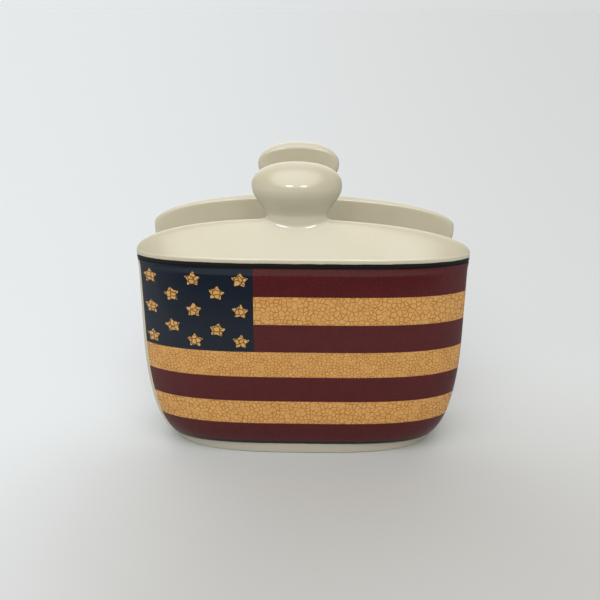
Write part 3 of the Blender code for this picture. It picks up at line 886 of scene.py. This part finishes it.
for name, side in (("front", -1), ("rear", 1)):
    sheet = print_on(castings[name], side)
    finish_piece(f"{name}_flag", sheet, flag_print, [f"{name}_flag_print"])
for mesh in bpy.data.meshes:
    for label in ("row", "column"):
        if label in mesh.attributes:
            mesh.attributes.remove(mesh.attributes[label])


# The table it stands on
# A pale, matt tabletop that runs far back, so that no horizon shows. It is darker in front, where it was
# shaded, and darker to the right: both are painted shade. A pale backdrop stands far off, all round. It
# is only there to be seen, so it neither lights nor shades anything, and it glows with painted light,
# brighter on the left and dimmer higher up.

TABLE_SIZE = 80.0
TABLE_GRID = 8
TABLE_BACK = (0.572, 0.588, 0.593, 1)
TABLE_SHADED_RIGHT = (0.480, 0.486, 0.476, 1)
TABLE_FRONT = (0.420, 0.414, 0.394, 1)
TABLE_FRONT_PLACE = (0.06, -0.15, 0)
TABLE_FRONT_FADE = (0.29, 0.08)
TABLE_UNEVEN = 0.05
TABLE_UNEVEN_SCALE = 6.0
TABLE_ROUGHNESS = 0.9
FAN_START = 0.7
FAN_EDGES = (-0.40, 0.45)
BACKDROP_RADIUS = 11.0
BACKDROP_STEPS = 32
BACKDROP_GLOW_LEFT = (0.79, 0.82, 0.84, 1)
BACKDROP_GLOW_RIGHT = (0.68, 0.69, 0.68, 1)
BACKDROP_GLOW_HIGH = (0.60, 0.61, 0.62, 1)


def rightwards(tree, place):
    """0 on the left of the holder and 1 on its right, spread out like a fan behind it."""
    axes = split(tree, place)
    spread = calc(tree, "ADD", calc(tree, "ABSOLUTE", axes["Y"]), FAN_START)
    return fade(tree, calc(tree, "DIVIDE", axes["X"], spread), *FAN_EDGES)


bm = bmesh.new()
bmesh.ops.create_grid(bm, x_segments=TABLE_GRID, y_segments=TABLE_GRID, size=TABLE_SIZE / 2)
table_mesh = bpy.data.meshes.new("table_top")
bm.to_mesh(table_mesh)
bm.free()
table_top = bpy.data.objects.new("table_top", table_mesh)
bpy.context.scene.collection.objects.link(table_top)

pale_table, tree, shader = new_material("pale_table")
place = shader_node(tree, "ShaderNodeTexCoord").outputs["Object"]
away = shader_node(tree, "ShaderNodeVectorMath", operation="DISTANCE")
feed(tree, away.inputs[0], place)
away.inputs[1].default_value = TABLE_FRONT_PLACE
uneven = clouds(tree, place, TABLE_UNEVEN_SCALE)
shaded = calc(tree, "MULTIPLY_ADD", uneven, TABLE_UNEVEN, away.outputs["Value"])
# Painted shade: the table is painted darker to the right and in front.
colour = blend_colours(tree, rightwards(tree, place), TABLE_BACK, TABLE_SHADED_RIGHT)
colour = blend_colours(tree, fade(tree, shaded, *TABLE_FRONT_FADE), colour, TABLE_FRONT)
feed(tree, shader.inputs["Base Color"], colour)
shader.inputs["Roughness"].default_value = TABLE_ROUGHNESS
shader.inputs["Specular IOR Level"].default_value = 0.0
table_mesh.materials.append(pale_table)

bm = bmesh.new()
bmesh.ops.create_uvsphere(
    bm, u_segments=2 * BACKDROP_STEPS, v_segments=BACKDROP_STEPS, radius=BACKDROP_RADIUS
)
backdrop_mesh = bpy.data.meshes.new("backdrop")
bm.to_mesh(backdrop_mesh)
bm.free()
backdrop = bpy.data.objects.new("backdrop", backdrop_mesh)
bpy.context.scene.collection.objects.link(backdrop)
backdrop.visible_diffuse = False
backdrop.visible_glossy = False
backdrop.visible_transmission = False
backdrop.visible_shadow = False

pale_backdrop, tree, shader = new_material("pale_backdrop")
place = shader_node(tree, "ShaderNodeTexCoord").outputs["Object"]
# Painted light: the backdrop glows, brighter on the left and dimmer to the right and higher up.
colour = blend_colours(tree, rightwards(tree, place), BACKDROP_GLOW_LEFT, BACKDROP_GLOW_RIGHT)
upwards = fade(tree, split(tree, place)["Z"], 0.0, BACKDROP_RADIUS)
feed(tree, shader.inputs["Emission Color"], blend_colours(tree, upwards, colour, BACKDROP_GLOW_HIGH))
shader.inputs["Emission Strength"].default_value = 1.0
shader.inputs["Base Color"].default_value = LINE_BLACK
shader.inputs["Specular IOR Level"].default_value = 0.0
pale_backdrop.cycles.emission_sampling = "NONE"
backdrop_mesh.materials.append(pale_backdrop)


# The light
# A soft light overhead in a pale room that is darker in front. Two small windows in front give the short
# bright streaks on the glaze. A dark card on the table, which the camera doesn't see, is painted shade:
# it stands for the shaded table in front, and the glaze reflects it, which keeps the printed colours
# deep.

ROOM_FRONT = (0.03, 0.03, 0.03, 1)
ROOM_BEHIND = (0.50, 0.50, 0.51, 1)
ROOM_FADE = (-0.5, 0.5)

# A light's direction, the cosines where it starts and where it is full, and its brightness.
SKYLIGHTS = {
    "back_wall": (Vector((-0.10, 0.75, 0.60)), 0.45, 1.0, (1.6, 1.62, 1.64, 1)),
    "ceiling": (Vector((-0.05, -0.63, 0.77)), 0.72, 0.95, (3.5, 3.5, 3.5, 1)),
}

CARD_SIZE = (0.70, 0.30)
CARD_PLACE = Vector((0, -0.32, 0.001))
CARD_SHADE_GREY = (0.17, 0.17, 0.17, 1)
CARD_FADE = (-0.30, -0.17)
CARD_SIDE_FADE = (0.16, 0.34)
CARD_MOTTLE_SCALE = 40.0
CARD_MOTTLE_STRENGTH = 0.2
CARD_ROUGHNESS = 0.9

# A window's place and size.
WINDOWS = {
    "left_window": ((-0.27, -1.25, 0.70), (0.24, 0.10)),
    "right_window": ((0.22, -1.25, 0.70), (0.20, 0.10)),
}
WINDOW_POWER = 1.3
WINDOW_AIM = Vector((0, 0, 0.12))

room = bpy.data.worlds.new("room")
room.use_nodes = True
tree = room.node_tree
facing = shader_node(tree, "ShaderNodeTexCoord").outputs["Generated"]
behind = fade(tree, split(tree, facing)["Y"], *ROOM_FADE)
colour = blend_colours(tree, behind, ROOM_FRONT, ROOM_BEHIND)
for direction, edge, full, brightness in SKYLIGHTS.values():
    towards = shader_node(tree, "ShaderNodeVectorMath", operation="DOT_PRODUCT")
    feed(tree, towards.inputs[0], facing)
    towards.inputs[1].default_value = direction.normalized()
    colour = blend_colours(tree, fade(tree, towards.outputs["Value"], edge, full), colour, brightness)
feed(tree, tree.nodes["Background"].inputs["Color"], colour)
bpy.context.scene.world = room

for name, (place, size) in WINDOWS.items():
    lamp = bpy.data.lights.new(name, "AREA")
    lamp.shape = "RECTANGLE"
    lamp.size, lamp.size_y = size
    lamp.energy = WINDOW_POWER
    window = bpy.data.objects.new(name, lamp)
    window.location = place
    window.rotation_euler = (WINDOW_AIM - Vector(place)).to_track_quat("-Z", "Y").to_euler()
    bpy.context.scene.collection.objects.link(window)

# Painted shade: a dark card on the table in front, where the table was shaded, seen only in reflections.
bm = bmesh.new()
bmesh.ops.create_grid(bm, x_segments=1, y_segments=1, size=0.5)
bmesh.ops.scale(bm, verts=bm.verts, vec=(*CARD_SIZE, 1))
bmesh.ops.translate(bm, verts=bm.verts, vec=CARD_PLACE)
card_mesh = bpy.data.meshes.new("dark_card")
bm.to_mesh(card_mesh)
bm.free()
dark_card = bpy.data.objects.new("dark_card", card_mesh)
bpy.context.scene.collection.objects.link(dark_card)
dark_card.visible_camera = False
dark_card.visible_diffuse = False
dark_card.visible_shadow = False
painted_shade_card, tree, shader = new_material("painted_shade_card")
place = shader_node(tree, "ShaderNodeTexCoord").outputs["Object"]
mottled = clouds(tree, place, CARD_MOTTLE_SCALE)
colour = tint(tree, mottled, CARD_MOTTLE_STRENGTH, CARD_SHADE_GREY, LINE_BLACK)
axes = split(tree, place)
nearer = fade(tree, axes["Y"], *CARD_FADE)
outwards = fade(tree, calc(tree, "ABSOLUTE", axes["X"]), *CARD_SIDE_FADE)
paler = calc(tree, "MAXIMUM", nearer, outwards)
feed(tree, shader.inputs["Base Color"], blend_colours(tree, paler, colour, TABLE_FRONT))
shader.inputs["Roughness"].default_value = CARD_ROUGHNESS
card_mesh.materials.append(painted_shade_card)

bpy.context.scene.view_settings.view_transform = "Standard"
